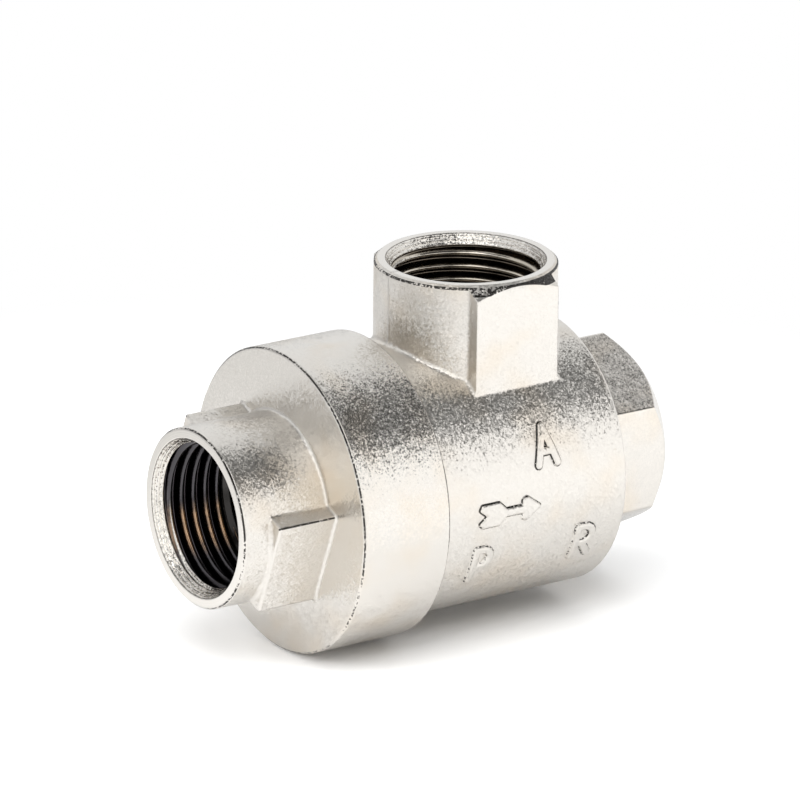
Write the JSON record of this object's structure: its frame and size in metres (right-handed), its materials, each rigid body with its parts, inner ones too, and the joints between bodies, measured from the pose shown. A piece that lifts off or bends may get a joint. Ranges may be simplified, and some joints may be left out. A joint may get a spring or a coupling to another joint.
{
  "type": "quick exhaust valve",
  "caption": "Inline pneumatic quick exhaust valve: cast barrel with a side port boss and a hexagon end, screwed-on inlet cover, and a sliding lip-seal poppet inside.",
  "frame": {"origin": "centre of the inlet port's annular end face, on the valve's main axis", "axes": "+X runs along the main axis from the inlet port to the exhaust port, +Z points out of the cylinder port on top"},
  "size_m": [0.0659, 0.0404, 0.0482],
  "materials": {
    "nickel_plated_cover": "bead-blasted casting with nickel plating over brass, machined faces and threads",
    "nickel_plated_body": "bead-blasted casting with nickel plating over brass, machined faces and threads",
    "gasket_fibre": "matt compressed fibre",
    "turned_brass": "bright turned",
    "nitrile_rubber": "satin moulded",
    "zinc_plated_steel": "bright zinc plating"
  },
  "bodies": {
    "housing": {"valve_body": "nickel_plated_body", "inlet_cover": "nickel_plated_cover", "cover_gasket": "gasket_fibre"},
    "shuttle": {"poppet_core": "turned_brass", "lip_seal": "nitrile_rubber", "retaining_washer": "zinc_plated_steel", "lock_nut": "zinc_plated_steel"}
  },
  "joints": [
    {"name": "shuttle_slide", "type": "slide", "parent": "housing", "child": "shuttle", "axis": [1, 0, 0], "range_m": [0, 0.0035]}
  ]
}
